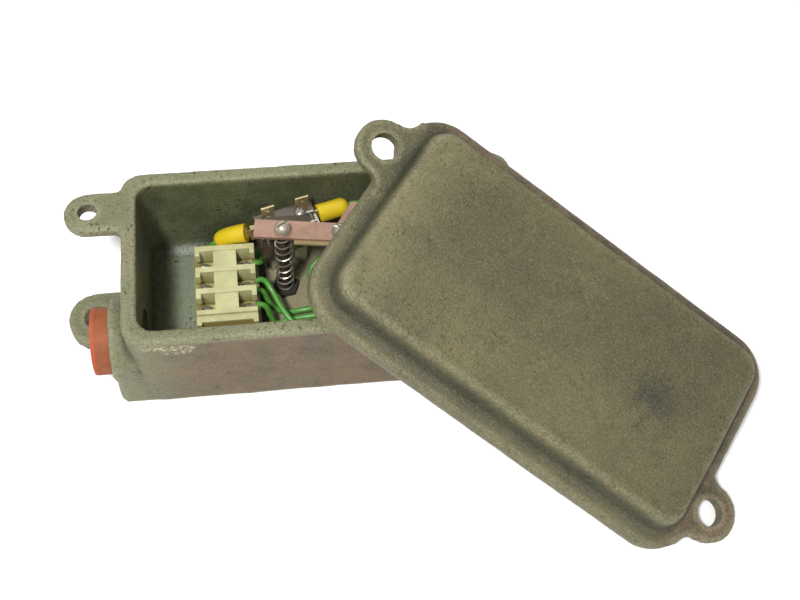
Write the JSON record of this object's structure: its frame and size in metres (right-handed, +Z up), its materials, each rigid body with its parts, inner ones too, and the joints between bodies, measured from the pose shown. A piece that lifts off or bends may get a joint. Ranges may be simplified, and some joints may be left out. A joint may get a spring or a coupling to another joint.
{
  "type": "vibration limit switch",
  "caption": "Vibration limit switch in a cast box, lid off and leaned on one end, with terminal block, spring-held trip bar, snap switch, reset coil and wiring.",
  "frame": {"origin": "middle of the box's mounting face, which lies on the surface", "axes": "+Z up out of the open box, +X along the box away from the conduit entry"},
  "size_m": [0.3173, 0.1842, 0.0988],
  "materials": {
    "box_casting": "rough cast",
    "plug_red": "satin",
    "block_nylon": "satin",
    "terminal_metal": "satin",
    "terminal_screw_metal": "satin",
    "fixing_steel": "satin",
    "plate_steel": "satin",
    "core_iron": "satin",
    "bobbin_black": "satin",
    "coil_enamel": "satin",
    "bushing_dark": "satin",
    "screw_steel": "satin",
    "spring_steel": "satin",
    "bar_bronze": "satin",
    "pad_cream": "matte",
    "mass_steel": "satin",
    "switch_phenolic": "satin",
    "shield_clear": "satin",
    "tab_brass": "satin",
    "lever_steel": "satin",
    "plunger_red": "satin",
    "sleeve_yellow": "satin",
    "wire_green": "satin",
    "lid_casting": "rough cast",
    "gasket_rubber": "matte"
  },
  "bodies": {
    "box": {"box_body": "box_casting", "terminal_block": "block_nylon", "terminal_plates": "terminal_metal", "terminal_screws": "terminal_screw_metal", "block_screws": "fixing_steel", "base_plate": "plate_steel", "base_screws": "fixing_steel", "pivot_bracket": "plate_steel", "pivot_pin": "fixing_steel", "magnet_core": "core_iron", "coil_bobbin": "bobbin_black", "reset_coil": "coil_enamel", "screw_bushing": "bushing_dark", "adjusting_spring": "spring_steel", "switch_standoffs": "fixing_steel", "switch_body": "switch_phenolic", "switch_shield": "shield_clear", "switch_tabs": "tab_brass", "switch_screws": "fixing_steel", "lever_bracket": "lever_steel", "lever_pin": "lever_steel", "sleeve_left": "sleeve_yellow", "sleeve_right": "sleeve_yellow", "wire_common": "wire_green", "wire_contact": "wire_green", "wire_coil_a": "wire_green", "wire_coil_b": "wire_green"},
    "lid": {"cover": "lid_casting", "cover_gasket": "gasket_rubber"},
    "plug": {"conduit_plug": "plug_red"},
    "bar": {"trip_bar": "bar_bronze", "insulator_pad": "pad_cream", "bar_screw": "screw_steel", "bar_nut": "fixing_steel", "seismic_mass": "mass_steel", "mass_screws": "fixing_steel"},
    "screw": {"adjusting_screw": "screw_steel"},
    "lever": {"switch_lever": "lever_steel"},
    "plunger": {"switch_plunger": "plunger_red"}
  },
  "joints": [
    {"name": "lid_lift", "type": "slide", "parent": "box", "child": "lid", "axis": [0, 0, 1], "range_m": [0, 0.15]},
    {"name": "plug_pull", "type": "slide", "parent": "box", "child": "plug", "axis": [-1, 0, 0], "range_m": [0, 0.03]},
    {"name": "bar_pivot", "type": "hinge", "parent": "box", "child": "bar", "pos_m": [0.05904, -0.00146, 0.052], "axis": [-0.1392, -0.9903, 0], "range_deg": [0, 3], "stiffness_Nm_per_rad": 0.8, "springref_deg": -5.73, "deforming": ["adjusting_spring"]},
    {"name": "screw_turn", "type": "hinge", "parent": "box", "child": "screw", "pos_m": [-0.0182, 0.0094, 0.057], "axis": [0, 0, 1], "range_deg": [-180, 180]},
    {"name": "lever_pivot", "type": "hinge", "parent": "box", "child": "lever", "pos_m": [-0.00417, 0.02158, 0.0466], "axis": [0.2639, -0.9646, 0], "range_deg": [0, 12]},
    {"name": "plunger_slide", "type": "slide", "parent": "box", "child": "plunger", "axis": [0, 0, -1], "range_m": [0, 0.002]}
  ],
  "couplings": [
    {"joint": "lever_pivot", "follows": "bar_pivot", "ratio": 3.88},
    {"joint": "plunger_slide", "follows": "bar_pivot", "m_per_rad": 0.0258}
  ]
}
